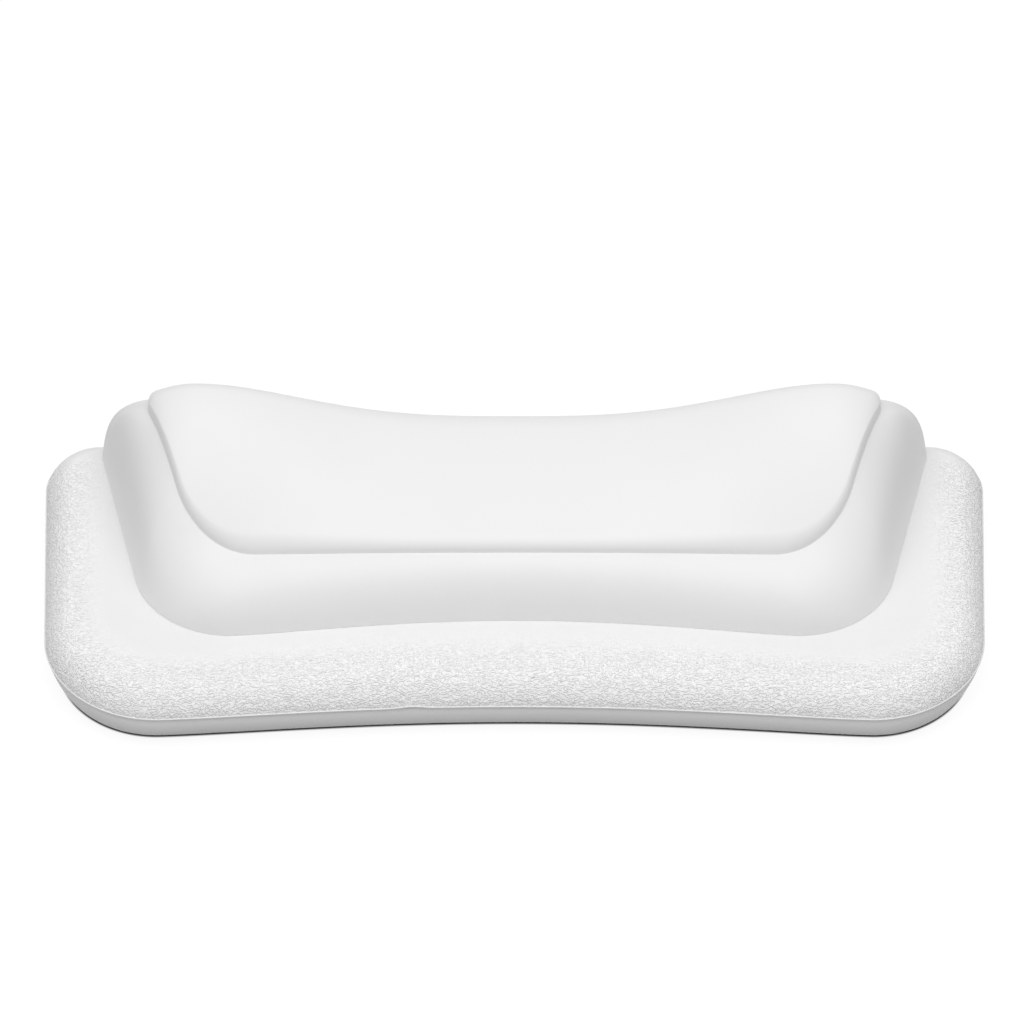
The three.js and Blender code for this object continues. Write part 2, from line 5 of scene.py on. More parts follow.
import bpy
import numpy as np
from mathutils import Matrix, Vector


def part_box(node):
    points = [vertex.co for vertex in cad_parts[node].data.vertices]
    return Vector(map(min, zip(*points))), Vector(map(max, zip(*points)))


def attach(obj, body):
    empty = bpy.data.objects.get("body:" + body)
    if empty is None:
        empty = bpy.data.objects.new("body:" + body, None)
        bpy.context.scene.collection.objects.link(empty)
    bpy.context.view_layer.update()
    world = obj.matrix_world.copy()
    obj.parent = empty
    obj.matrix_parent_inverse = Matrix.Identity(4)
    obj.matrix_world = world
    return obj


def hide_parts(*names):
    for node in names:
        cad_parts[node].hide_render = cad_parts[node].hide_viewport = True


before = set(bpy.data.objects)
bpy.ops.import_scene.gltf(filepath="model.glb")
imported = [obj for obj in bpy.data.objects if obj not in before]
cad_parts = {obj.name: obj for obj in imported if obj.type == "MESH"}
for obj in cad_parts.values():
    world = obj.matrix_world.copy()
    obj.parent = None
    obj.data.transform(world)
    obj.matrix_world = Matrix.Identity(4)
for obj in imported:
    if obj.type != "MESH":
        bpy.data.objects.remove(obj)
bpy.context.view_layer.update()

# Rear cover
# A shallow tray of white polyurethane skin, smooth from the mould, that closes the back of the
# pillow. Its rim shows below the parting line, and a round pocket in it holds each suction cup.

MM = 0.001
cover_low, cover_high = (np.array(corner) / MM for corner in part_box("front_cover"))
tray_low, tray_high = (np.array(corner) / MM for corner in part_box("rear_cover"))

base = dict(
    front=cover_low[1],
    back=cover_high[1],
    front_half=cover_high[0],
    back_half=cover_high[0],
    front_radius=39.0,
    back_radius=19.0,
    hollow=6.5,  # how far the front edge bows in at its middle
)
BOW_POWER = 1.4  # a bowed edge leaves its corners more slowly above 1
LEAST_RADIUS = 1.0
PLAIN_STEPS = dict(front=110, front_corner=44, side=40, back_corner=24, back=70)

RIM_RUN = 3.5  # how far the rim draws in from its belly to the rear face
RIM_END_RUN = 6.0  # the same at the ends, where it slopes in from the parting line
RIM_END_POWER = 1.5
SHOULDER_RUN = 1.2  # how far it draws in from its belly to the parting line
SHOULDER_HEIGHT = 3.4
REAR_SKIN = 2.5
INNER_ROUND = 4.0  # where the tray's floor turns up into its wall
LIP_ROUND = 0.35  # eased lower edge of the front cover
POCKET_RADIUS = 27.0
POCKET_MOUTH_ROUND = 1.0
POCKET_CEILING = 6.8  # above the rear face
SOCKET_HOLE_RADIUS = 7.0
CUP_END_INSET = 60.0
CUP_EDGE_INSET = 34.0

cup_x = base["front_half"] - CUP_END_INSET
cup_y = base["back"] - CUP_EDGE_INSET
cup_places = {
    "lower_left": (-cup_x, -cup_y),
    "lower_right": (cup_x, -cup_y),
    "upper_left": (-cup_x, cup_y),
    "upper_right": (cup_x, cup_y),
}


def inset(shape, front, ends=None, back=None):
    """The same plan shape moved in at its front, its ends and its back."""
    ends = front if ends is None else ends
    back = front if back is None else back
    return dict(
        shape,
        front=shape["front"] + front,
        back=shape["back"] - back,
        front_half=shape["front_half"] - ends,
        back_half=shape["back_half"] - ends,
        front_radius=max(shape["front_radius"] - max(front, ends), LEAST_RADIUS),
        back_radius=max(shape["back_radius"] - max(back, ends), LEAST_RADIUS),
    )


def corner_arc(before, corner, after, radius, steps):
    """Arc tangent to the two sides that meet at a corner."""
    before, corner, after = (np.array(point, float) for point in (before, corner, after))
    to_before = (before - corner) / np.linalg.norm(before - corner)
    to_after = (after - corner) / np.linalg.norm(after - corner)
    half_angle = math.acos(float(to_before @ to_after)) / 2
    bisector = (to_before + to_after) / np.linalg.norm(to_before + to_after)
    centre = corner + bisector * radius / math.sin(half_angle)
    start = corner + to_before * radius / math.tan(half_angle) - centre
    end = corner + to_after * radius / math.tan(half_angle) - centre
    first = math.atan2(start[1], start[0])
    turn = (math.atan2(end[1], end[0]) - first) % (2 * math.pi)
    angles = first + turn * np.linspace(0, 1, steps + 1)
    return centre + radius * np.stack([np.cos(angles), np.sin(angles)], axis=1)


def plan(shape, steps=PLAIN_STEPS):
    """Outline points from the back's middle, counter-clockwise from above. All outlines match."""
    front, back = shape["front"], shape["back"]
    front_corner = (shape["front_half"], front)
    back_corner = (shape["back_half"], back)
    lower = corner_arc((0, front), front_corner, back_corner,
                       shape["front_radius"], steps["front_corner"])
    upper = corner_arc(front_corner, back_corner, (0, back),
                       shape["back_radius"], steps["back_corner"])
    bow_end = lower[0, 0]
    x = bow_end * np.arange(steps["front"]) / steps["front"]
    hollow = shape["hollow"] * (1 - (x / bow_end) ** 2) ** BOW_POWER
    bow = np.stack([x, front + hollow], axis=1)
    along_side = np.arange(1, steps["side"]) / steps["side"]
    side = lower[-1] + (upper[0] - lower[-1]) * along_side[:, None]
    middle = np.array([0, back])
    along_back = np.arange(1, steps["back"] + 1) / steps["back"]
    rear = upper[-1] + (middle - upper[-1]) * along_back[:, None]
    half = np.concatenate([bow, lower, side, upper, rear])
    mirrored = half[1:-1][::-1] * (-1, 1)
    return np.roll(np.concatenate([half, mirrored]), len(mirrored) + 1, axis=0)


def ring(points, height):
    """Plan points lifted to one height, or to a height for each point."""
    heights = np.broadcast_to(np.asarray(height, float), len(points))
    return np.column_stack([points, heights])


def lofted(name, rings, values=None, hoop=False, open_start=False):
    """Mesh in metres through rings of equal count. A point closes each end, unless the start stays
    open, or, for a hoop, the last ring meets the first."""
    rings = np.asarray(rings, float)
    levels, count = rings.shape[:2]
    spans = levels if hoop else levels - 1
    level, step = np.meshgrid(np.arange(spans), np.arange(count), indexing="ij")
    above, following = (level + 1) % levels, (step + 1) % count
    quads = np.stack([level * count + step, level * count + following,
                      above * count + following, above * count + step], axis=-1)
    points, faces = rings.reshape(-1, 3), quads.reshape(-1, 4).tolist()
    if not hoop:
        points = np.concatenate([points, rings[[0, -1]].mean(1)])
        around = np.arange(count)
        after = (around + 1) % count
        first, last, top = levels * count, levels * count + 1, (levels - 1) * count
        if not open_start:
            faces += np.stack([np.full(count, first), after, around], axis=1).tolist()
        faces += np.stack([np.full(count, last), top + around, top + after], axis=1).tolist()
    mesh = bpy.data.meshes.new(name)
    mesh.from_pydata((points * MM).tolist(), [], faces)
    for key, value in (values or {}).items():
        layer = mesh.attributes.new(key, "FLOAT", "POINT")
        value = np.reshape(value, (levels, count))
        flat = np.concatenate([value.ravel(), value[[0, -1]].mean(1)])
        layer.data.foreach_set("value", flat.astype(np.float32))
    mesh.shade_smooth()
    made = bpy.data.objects.new(name, mesh)
    bpy.context.scene.collection.objects.link(made)
    return made


def turned(name, profile, place, steps, hoop=False):
    """Closed mesh turned about a vertical axis. The profile is [radius, height] pairs in mm."""
    angles = 2 * math.pi * np.arange(steps) / steps
    circle = np.stack([np.cos(angles), np.sin(angles)], axis=1)
    rings = [ring(place + radius * circle, height) for radius, height in profile]
    return lofted(name, rings, hoop=hoop)


def settle(piece):
    """Works the piece's modifiers into a plain mesh."""
    graph = bpy.context.evaluated_depsgraph_get()
    mesh = bpy.data.meshes.new_from_object(piece.evaluated_get(graph))
    worn = piece.data
    piece.modifiers.clear()
    piece.data = mesh
    bpy.data.meshes.remove(worn)
    mesh.name = piece.name
    return piece


def joined(piece, operation, *tools):
    """Joins tools to a piece or cuts them out of it, and removes the tools."""
    for tool in tools:
        step = piece.modifiers.new(operation.title(), "BOOLEAN")
        step.operation = operation
        step.solver = "EXACT"
        step.object = tool
    settle(piece)
    for tool in tools:
        bpy.data.objects.remove(tool)
    return piece


def linear(code):
    """An sRGB hex colour as linear red, green, blue and alpha."""
    parts = [int(code[i:i + 2], 16) / 255 for i in (1, 3, 5)]
    return [p / 12.92 if p <= 0.04045 else ((p + 0.055) / 1.055) ** 2.4 for p in parts] + [1.0]


def add(tree, kind, inputs=None, **settings):
    """Adds a node, with its settings and with its inputs set to values or linked to sockets."""
    made = tree.nodes.new(kind)
    for name, value in settings.items():
        setattr(made, name, value)
    for key, value in (inputs or {}).items():
        if isinstance(value, bpy.types.NodeSocket):
            tree.links.new(value, made.inputs[key])
        else:
            made.inputs[key].default_value = value
    return made


def clouded(name, ior, patch, tones, gloss, detail=2.0, distortion=0.0):
    """Moulded plastic whose tone and roughness drift together over patches of a size in mm.
    tones and gloss give the two ends of each."""
    made = bpy.data.materials.new(name)
    made.use_nodes = True
    tree = made.node_tree
    shader = tree.nodes["Principled BSDF"]
    shader.inputs["IOR"].default_value = ior
    where = add(tree, "ShaderNodeTexCoord").outputs["Object"]
    patches = add(tree, "ShaderNodeTexNoise", {
        "Vector": where, "Scale": 1 / (patch * MM), "Detail": detail, "Distortion": distortion})
    tone = add(tree, "ShaderNodeMix", {
        "Factor": patches.outputs["Fac"], "A": linear(tones[0]), "B": linear(tones[1])},
        data_type="RGBA")
    tree.links.new(tone.outputs["Result"], shader.inputs["Base Color"])
    sheen = add(tree, "ShaderNodeMapRange", {
        "Value": patches.outputs["Fac"], "To Min": gloss[0], "To Max": gloss[1]})
    tree.links.new(sheen.outputs["Result"], shader.inputs["Roughness"])
    return made


# Integral-skin polyurethane foams against a smooth or textured mould, so its surface is a satin
# white skin: faintly uneven in tone over a few centimetres, with the mould's own fine tooth.
SKIN_IOR = 1.5
TONE_PATCH = 28.0
GLOSS_DRIFT = 0.05
TOOTH_PITCH = 0.75  # coarser than a real mould's, so that it shows


def moulded_skin(name, tones, roughness, tooth):
    """White skin. tooth is the depth of its fine texture in mm."""
    made = clouded(name, SKIN_IOR, TONE_PATCH, tones,
                   gloss=(roughness - GLOSS_DRIFT, roughness + GLOSS_DRIFT))
    tree = made.node_tree
    where = add(tree, "ShaderNodeTexCoord").outputs["Object"]
    grit = add(tree, "ShaderNodeTexNoise", {
        "Vector": where, "Scale": 1 / (TOOTH_PITCH * MM), "Detail": 2.5, "Roughness": 0.6})
    bump = add(tree, "ShaderNodeBump", {
        "Height": grit.outputs["Fac"], "Distance": tooth * MM, "Strength": 1.0})
    tree.links.new(bump.outputs["Normal"], tree.nodes["Principled BSDF"].inputs["Normal"])
    return made


rear_face = tray_low[2]
tray_top = tray_high[2]
belly = tray_top - SHOULDER_HEIGHT
EASE = np.linspace(0, math.pi / 2, 9)  # angles over a small eased edge
TURN = np.linspace(0, math.pi / 2, 17)  # angles over a large one
rim = [(RIM_RUN * (1 - math.sin(a)), rear_face + (belly - rear_face) * (1 - math.cos(a)))
       for a in TURN]
rim += [(SHOULDER_RUN * (1 - math.cos(a)), belly + SHOULDER_HEIGHT * math.sin(a))
        for a in TURN[1:]]
outer = []
for drawn_in, z in rim:
    below_parting = (tray_top - z) / (tray_top - rear_face)
    at_ends = max(RIM_END_RUN * below_parting ** RIM_END_POWER, LIP_ROUND)
    outer.append(ring(plan(inset(base, drawn_in, at_ends)), z))
inner = plan(inset(base, REAR_SKIN))
tray_floor = rear_face + REAR_SKIN
inside = [ring(inner, tray_top), ring(inner, rear_face + INNER_ROUND),
          ring(plan(inset(base, INNER_ROUND)), tray_floor)]
rear_cover = lofted("rear_cover_skin", outer + inside)

TURN_STEPS = 96
ceiling = rear_face + POCKET_CEILING
wall = POCKET_RADIUS + REAR_SKIN
mouth = POCKET_RADIUS + POCKET_MOUTH_ROUND
eased = [[mouth - POCKET_MOUTH_ROUND * math.sin(a),
          rear_face + POCKET_MOUTH_ROUND * (1 - math.cos(a))] for a in EASE]
housing_profile = [[wall, tray_floor - REAR_SKIN / 2], [wall, ceiling + REAR_SKIN]]
pocket_profile = [
    [mouth, rear_face - POCKET_MOUTH_ROUND],
    *eased,
    [POCKET_RADIUS, ceiling],
    [SOCKET_HOLE_RADIUS, ceiling],
    [SOCKET_HOLE_RADIUS, ceiling + 2 * REAR_SKIN],
]
housings, pockets = [], []
for place in cup_places.values():
    housings.append(turned("housing", housing_profile, place, TURN_STEPS))
    pockets.append(turned("pocket", pocket_profile, place, TURN_STEPS))
joined(rear_cover, "UNION", *housings)
joined(rear_cover, "DIFFERENCE", *pockets)
FOLD_ANGLE = math.radians(35)  # steeper folds than this show as edges
rear_cover.data.set_sharp_from_angle(angle=FOLD_ANGLE)

smooth_rear_skin = moulded_skin("Smooth rear skin", ("#F0F0F0", "#ECECEC"),
                                roughness=0.46, tooth=0.01)
rear_cover.data.materials.append(smooth_rear_skin)
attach(rear_cover, "pillow")
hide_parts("rear_cover")

# Stiffening plate
# A flat ribbed moulding of natural polypropylene, buried in the foam, with holes that the foam
# grows through. It carries the four sockets.

PLATE_FLOW = 9.0
PLATE_IOR = 1.49

# Natural polypropylene is pale grey, with faint swirls where the melt flowed and an uneven satin.
plate_plastic = clouded("Moulded polypropylene", PLATE_IOR, PLATE_FLOW,
                        tones=("#D2D4D3", "#C6C9C8"), gloss=(0.38, 0.52),
                        detail=3.0, distortion=0.6)
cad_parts["stiffening_plate"].data.materials.clear()
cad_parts["stiffening_plate"].data.materials.append(plate_plastic)

# Sockets
# Acetal bushes that clip up through the pocket and the plate. A flange lies against the pocket's
# ceiling, a snap collar holds behind the plate, and the cup's stem turns in the bore.

socket_low, socket_high = (np.array(corner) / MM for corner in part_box("socket_lower_left"))
SOCKET_BORE = 4.6
SOCKET_BARREL = 6.7
SOCKET_COLLAR = 7.8
SOCKET_FLANGE = 9.0
SOCKET_FLANGE_THICKNESS = 1.2
SOCKET_COLLAR_HEIGHT = 1.2
SOCKET_EDGE = 0.2
ACETAL_HAZE = 4.0
ACETAL_IOR = 1.48

# Acetal is milky white, slick and a little cloudy in its gloss.
acetal = clouded("Moulded acetal", ACETAL_IOR, ACETAL_HAZE,
                 tones=("#DEDFDD", "#D3D5D2"), gloss=(0.3, 0.42))

low, high = socket_low[2], socket_high[2]
flange_top = low + SOCKET_FLANGE_THICKNESS
collar_z = high - SOCKET_COLLAR_HEIGHT
bush = [
    [SOCKET_BORE, low + SOCKET_EDGE],
    [SOCKET_BORE + SOCKET_EDGE, low],
    [SOCKET_FLANGE - SOCKET_EDGE, low],
    [SOCKET_FLANGE, low + SOCKET_EDGE],
    [SOCKET_FLANGE, flange_top - SOCKET_EDGE],
    [SOCKET_FLANGE - SOCKET_EDGE, flange_top],
    [SOCKET_BARREL, flange_top],
    [SOCKET_BARREL, collar_z],
    [SOCKET_COLLAR, collar_z],
    [SOCKET_COLLAR, collar_z + SOCKET_EDGE],
    [SOCKET_BARREL, high],
    [SOCKET_BORE, high],
]
for spot, place in cup_places.items():
    socket = turned(f"socket_bush_{spot}", bush, place, TURN_STEPS, hoop=True)
    socket.data.set_sharp_from_angle(angle=FOLD_ANGLE)
    socket.data.materials.append(acetal)
    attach(socket, "pillow")
    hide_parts(f"socket_{spot}")

# Base core
# Open-celled flexible foam, cream white, that fills the room between the covers round the pockets
# and the plate. It is moulded in one with them and never shows.

FOAM_CELL = 0.9
FOAM_ROUGHNESS = 0.95

# Open cells are pits between paler walls, and painted shade darkens the pits. No shine.
open_foam = bpy.data.materials.new("Open-cell foam")
open_foam.use_nodes = True
tree = open_foam.node_tree
shader = tree.nodes["Principled BSDF"]
shader.inputs["Roughness"].default_value = FOAM_ROUGHNESS
where = add(tree, "ShaderNodeTexCoord").outputs["Object"]
cells = add(tree, "ShaderNodeTexVoronoi", {"Vector": where, "Scale": 1 / (FOAM_CELL * MM)})
tone = add(tree, "ShaderNodeMix", {
    "Factor": cells.outputs["Distance"], "A": linear("#F1ECD8"), "B": linear("#D9D0B2")},
    data_type="RGBA")
tree.links.new(tone.outputs["Result"], shader.inputs["Base Color"])
bump = add(tree, "ShaderNodeBump", {
    "Height": cells.outputs["Distance"], "Distance": FOAM_CELL / 3 * MM, "Strength": 1.0},
    invert=True)
tree.links.new(bump.outputs["Normal"], shader.inputs["Normal"])
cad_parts["base_core"].data.materials.clear()
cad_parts["base_core"].data.materials.append(open_foam)

# Front cover
# The flange's upper skin, white polyurethane foamed against a grained mould and bonded to the rear
# cover at the parting line. The leather grain is deep along the edges and fades out to a smooth
# band beside the roll.

FLANGE_EDGE_RUN = 10.2
FLANGE_END_RUN = 8.6
FLANGE_BACK_RUN = 8.0
FLANGE_ROUND = 1.6  # exponent of the edge's section: 2 is an ellipse, less is nearer a slope
FRONT_SKIN = 3.0
UNDER_ROLL_LAP = 2.0
FINE_STEPS = dict(front=250, front_corner=120, side=140, back_corner=40, back=70)
LINING_RINGS = 7
EDGE_RINGS = 30
FLAT_RINGS = 34
GRAIN_PITCH = 0.85  # of the noise, whose crests lie about twice as far apart
GRAIN_STRETCH = (0.55, 1.0, 1.0)  # wrinkles run along the pillow
GRAIN_WIDTH = 0.17  # of a ridge, in the noise's own units
GRAIN_RELIEF = 0.12
GRAIN_BUMP = 0.22
GRAIN_DETAIL = 0.0
GRAIN_TWIST = 0.4
END_GRAIN = (7.0, 26.0)  # from the outer edge to where the grain starts to fade and where it ends
FRONT_GRAIN = (13.0, 31.0)
GRAIN_FOLD_ANGLE = math.radians(70)

roll_foot = dict(  # where the neck roll is bonded on
    front=base["front"] + 32.0,
    back=base["back"] - 6.5,
    front_half=base["front_half"] - 37.0,
    back_half=base["back_half"] - 18.5,
    front_radius=34.0,
    back_radius=4.7,
    hollow=7.5,
)
flange_z = cover_high[2]
cover_foot = cover_low[2]
lip_z = cover_foot + LIP_ROUND
rings = []
for a in np.linspace(math.pi / 2, 0, LINING_RINGS):
    run, back_run = ((width - FRONT_SKIN / 2) * (1 - math.cos(a))
                     for width in (FLANGE_EDGE_RUN, FLANGE_BACK_RUN))
    shape = inset(inset(base, FRONT_SKIN), run, run, back_run)
    height = cover_foot + (flange_z - FRONT_SKIN - cover_foot) * math.sin(a)
    rings.append(ring(plan(shape, FINE_STEPS), height))
for a in EASE[:-1]:
    shape = inset(base, LIP_ROUND * (1 - math.sin(a)))
    rings.append(ring(plan(shape, FINE_STEPS), cover_foot + LIP_ROUND * (1 - math.cos(a))))
hidden = len(rings)
for a in np.linspace(0, math.pi / 2, EDGE_RINGS):
    run = 1 - max(math.cos(a), 0) ** (2 / FLANGE_ROUND)
    shape = inset(base, FLANGE_EDGE_RUN * run, FLANGE_END_RUN * run, FLANGE_BACK_RUN * run)
    height = lip_z + (flange_z - lip_z) * math.sin(a) ** (2 / FLANGE_ROUND)
    rings.append(ring(plan(shape, FINE_STEPS), height))
flat_edge = rings[-1][:, :2]
under_roll = plan(inset(roll_foot, UNDER_ROLL_LAP), FINE_STEPS)
for share in np.arange(1, FLAT_RINGS + 1) / FLAT_RINGS:
    rings.append(ring(flat_edge + (under_roll - flat_edge) * share, flange_z))
rings = np.array(rings)

outline = plan(base, FINE_STEPS)
tangent = np.roll(outline, -1, axis=0) - np.roll(outline, 1, axis=0)
tangent = tangent[:, 0] / np.linalg.norm(tangent, axis=1)
facing_front, facing_back = np.maximum(tangent, 0) ** 2, np.maximum(-tangent, 0) ** 2
fade_start, fade_end = (end + (front - end) * facing_front
                        for end, front in zip(END_GRAIN, FRONT_GRAIN))
from_edge = np.linalg.norm(rings[..., :2] - outline, axis=2)
fade = np.clip((fade_end - from_edge) / (fade_end - fade_start), 0, 1)
grain = fade ** 2 * (3 - 2 * fade) * (1 - facing_back) ** 3
grain[:hidden] = 0
front_cover = lofted("front_cover_skin", rings, {"grain": grain})

# The grain shows by its wrinkles' light and shade, and by painted shade in its valleys.
grained_skin = moulded_skin("Grained flange skin", ("#F2F2F2", "#EEEEEE"),
                            roughness=0.52, tooth=0.012)
tree = grained_skin.node_tree
shader = tree.nodes["Principled BSDF"]
strength = add(tree, "ShaderNodeAttribute", attribute_name="grain")
where = add(tree, "ShaderNodeTexCoord").outputs["Object"]
drawn = add(tree, "ShaderNodeVectorMath", {0: where, 1: GRAIN_STRETCH}, operation="MULTIPLY")
wrinkles = add(tree, "ShaderNodeTexNoise", {
    "Vector": drawn.outputs[0], "Scale": 1 / (GRAIN_PITCH * MM), "Detail": GRAIN_DETAIL,
    "Distortion": GRAIN_TWIST})
even = add(tree, "ShaderNodeMath", {0: wrinkles.outputs["Fac"], 1: 0.5}, operation="SUBTRACT")
apart = add(tree, "ShaderNodeMath", {0: even.outputs[0]}, operation="ABSOLUTE")
depth = add(tree, "ShaderNodeMapRange", {
    "Value": apart.outputs[0], "From Max": GRAIN_WIDTH, "To Min": 1.0, "To Max": 0.0},
    interpolation_type="SMOOTHSTEP")
high = add(tree, "ShaderNodeMath", {0: depth.outputs[0], 1: strength.outputs["Fac"]},
           operation="MULTIPLY")
tooth_bump = shader.inputs["Normal"].links[0].from_node
creased = add(tree, "ShaderNodeBump", {
    "Height": high.outputs[0], "Distance": GRAIN_BUMP * MM,
    "Normal": tooth_bump.outputs["Normal"]})
tree.links.new(creased.outputs["Normal"], shader.inputs["Normal"])
# Painted light and shade: the grain is painted paler, its valleys darker than its crests.
painted_grain_shade = add(tree, "ShaderNodeMix", {
    "Factor": depth.outputs[0], "A": linear("#F9F9F9"), "B": linear("#FEFEFE")},
    data_type="RGBA")
shaded = add(tree, "ShaderNodeMix", {
    "Factor": strength.outputs["Fac"], "A": shader.inputs["Base Color"].links[0].from_socket,
    "B": painted_grain_shade.outputs["Result"]}, data_type="RGBA")
tree.links.new(shaded.outputs["Result"], shader.inputs["Base Color"])


def opened_tree(name, sizes):
    """A Geometry Nodes tree with an input for each named size and for the material, and the
    identifiers of those inputs."""
    made = bpy.data.node_groups.new(name, "GeometryNodeTree")
    face = made.interface
    face.new_socket("Geometry", in_out="INPUT", socket_type="NodeSocketGeometry")
    kinds = dict.fromkeys(sizes, "NodeSocketFloat") | {"Material": "NodeSocketMaterial"}
    keys = {key: face.new_socket(key, in_out="INPUT", socket_type=kind).identifier
            for key, kind in kinds.items()}
    face.new_socket("Geometry", in_out="OUTPUT", socket_type="NodeSocketGeometry")
    return made, keys


def worked(piece, tree, keys, values):
    """Works the tree into the piece's mesh, with its inputs set to the values."""
    step = piece.modifiers.new(tree.name, "NODES")
    step.node_group = tree
    for name, value in values.items():
        step[keys[name]] = value
    return settle(piece)


sizes = {"Pitch": GRAIN_PITCH * MM, "Relief": GRAIN_RELIEF * MM}
tree, keys = opened_tree("Leather grain", sizes)
given = add(tree, "NodeGroupInput").outputs
strength = add(tree, "GeometryNodeInputNamedAttribute", {"Name": "grain"})
scale = add(tree, "ShaderNodeMath", {0: 1.0, 1: given["Pitch"]}, operation="DIVIDE")
where = add(tree, "GeometryNodeInputPosition").outputs[0]
drawn = add(tree, "ShaderNodeVectorMath", {0: where, 1: GRAIN_STRETCH}, operation="MULTIPLY")
wrinkles = add(tree, "ShaderNodeTexNoise", {
    "Vector": drawn.outputs[0], "Scale": scale.outputs[0], "Detail": GRAIN_DETAIL,
    "Distortion": GRAIN_TWIST})
even = add(tree, "ShaderNodeMath", {0: wrinkles.outputs[0], 1: 0.5}, operation="SUBTRACT")
apart = add(tree, "ShaderNodeMath", {0: even.outputs[0]}, operation="ABSOLUTE")
ridge = add(tree, "ShaderNodeMapRange", {
    "Value": apart.outputs[0], "From Max": GRAIN_WIDTH, "To Min": 0.5, "To Max": -0.5},
    interpolation_type="SMOOTHSTEP")
depth = add(tree, "ShaderNodeMath", {0: ridge.outputs[0], 1: strength.outputs[0]},
            operation="MULTIPLY")
height = add(tree, "ShaderNodeMath", {0: depth.outputs[0], 1: given["Relief"]},
             operation="MULTIPLY")
normal = add(tree, "GeometryNodeInputNormal")
push = add(tree, "ShaderNodeVectorMath", {0: normal.outputs[0], "Scale": height.outputs[0]},
           operation="SCALE")
moved = add(tree, "GeometryNodeSetPosition", {
    "Geometry": given["Geometry"], "Offset": push.outputs[0]})
real = add(tree, "GeometryNodeRealizeInstances", {0: moved.outputs[0]})
painted = add(tree, "GeometryNodeSetMaterial", {
    "Geometry": real.outputs[0], "Material": given["Material"]})
add(tree, "NodeGroupOutput", {0: painted.outputs[0]})
worked(front_cover, tree, keys, sizes | {"Material": grained_skin})
front_cover.data.set_sharp_from_angle(angle=GRAIN_FOLD_ANGLE)

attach(front_cover, "pillow")
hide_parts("front_cover")

# Parting lip
# Where the mould's two halves met, the cover's skin ends in a thin bead that overhangs the rim. It
# is trimmed by hand, so it lifts in a small ripple beside the middle of the lower edge.

LIP_BEAD = 0.28
LIP_OVERHANG = 0.12
BEAD_SIDES = 10
RIPPLE_X = -36.0
RIPPLE_WIDTH = 5.0
RIPPLE_LIFT = 0.8

mesh = bpy.data.meshes.new("parting_lip")
bead_line = ring(plan(inset(base, -LIP_OVERHANG)), cover_foot + LIP_BEAD)
count = len(bead_line)
mesh.from_pydata((bead_line * MM).tolist(), [(i, (i + 1) % count) for i in range(count)], [])
parting_lip = bpy.data.objects.new("parting_lip", mesh)
bpy.context.scene.collection.objects.link(parting_lip)

sizes = {"Bead": LIP_BEAD * MM, "Ripple place": RIPPLE_X * MM,
         "Ripple width": RIPPLE_WIDTH * MM, "Ripple lift": RIPPLE_LIFT * MM}
tree, keys = opened_tree("Parting lip", sizes)
given = add(tree, "NodeGroupInput").outputs
position = add(tree, "GeometryNodeInputPosition").outputs[0]
where = add(tree, "ShaderNodeSeparateXYZ", {0: position})
apart = add(tree, "ShaderNodeMath", {0: where.outputs["X"], 1: given["Ripple place"]},
            operation="SUBTRACT")
share = add(tree, "ShaderNodeMath", {0: apart.outputs[0], 1: given["Ripple width"]},
            operation="DIVIDE")
square = add(tree, "ShaderNodeMath", {0: share.outputs[0], 1: 2.0}, operation="POWER")
negative = add(tree, "ShaderNodeMath", {0: square.outputs[0], 1: -1.0}, operation="MULTIPLY")
bell = add(tree, "ShaderNodeMath", {0: negative.outputs[0]}, operation="EXPONENT")
lift = add(tree, "ShaderNodeMath", {0: bell.outputs[0], 1: given["Ripple lift"]},
           operation="MULTIPLY")
ahead = add(tree, "FunctionNodeCompare", {"A": where.outputs["Y"]}, operation="LESS_THAN")
front_lift = add(tree, "ShaderNodeMath", {0: lift.outputs[0], 1: ahead.outputs[0]},
                 operation="MULTIPLY")
shift = add(tree, "ShaderNodeCombineXYZ", {"Z": front_lift.outputs[0]})
line = add(tree, "GeometryNodeMeshToCurve", {"Mesh": given["Geometry"]})
rippled = add(tree, "GeometryNodeSetPosition", {
    "Geometry": line.outputs[0], "Offset": shift.outputs[0]})
bead = add(tree, "GeometryNodeCurvePrimitiveCircle", {
    "Resolution": BEAD_SIDES, "Radius": given["Bead"]})
swept = add(tree, "GeometryNodeCurveToMesh", {
    "Curve": rippled.outputs[0], "Profile Curve": bead.outputs[0]})
smooth = add(tree, "GeometryNodeSetShadeSmooth", {0: swept.outputs[0]})
real = add(tree, "GeometryNodeRealizeInstances", {0: smooth.outputs[0]})
painted = add(tree, "GeometryNodeSetMaterial", {
    "Geometry": real.outputs[0], "Material": given["Material"]})
add(tree, "NodeGroupOutput", {0: painted.outputs[0]})
worked(parting_lip, tree, keys, sizes | {"Material": grained_skin})
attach(parting_lip, "pillow")

# Neck roll
# The raised roll that takes the neck, moulded in softer foam with a smooth satin skin and bonded
# to the flange along a sharp crease. High lobes at the ends, a dip between, a soft front slope.

pad_edge = dict(  # where the roll's walls end and the face pad is bonded on
    front=roll_foot["front"] + 21.3,
    back=roll_foot["back"] - 6.5,
    front_half=roll_foot["front_half"] - 15.5,
    back_half=roll_foot["back_half"] - 13.0,
    front_radius=29.0,
    back_radius=12.0,
    hollow=0.8,
)
ROLL_FRONT_HEIGHT = 18.8  # over the flange, along the pad's lower edge
ROLL_DIP_HEIGHT = 25.5
ROLL_LOBE_HEIGHT = 44.4
ROLL_LOBE_INSET = 34.0
ROLL_LOBE_FALL = 46.0
ROLL_SIDE_ROUND = 18.0
ROLL_BACK_ROUND = 20.0
LOBE_POWER = 1.48  # the dip is flatter above 1
RIDGE_EASE = 0.5  # how much the climb eases off towards the ridge
FULL_ROUND = 2.0  # exponent of a wall's section: 2 is an ellipse, less is softer
FRONT_WALL = 1.78
CORNER_WALL = 2.05
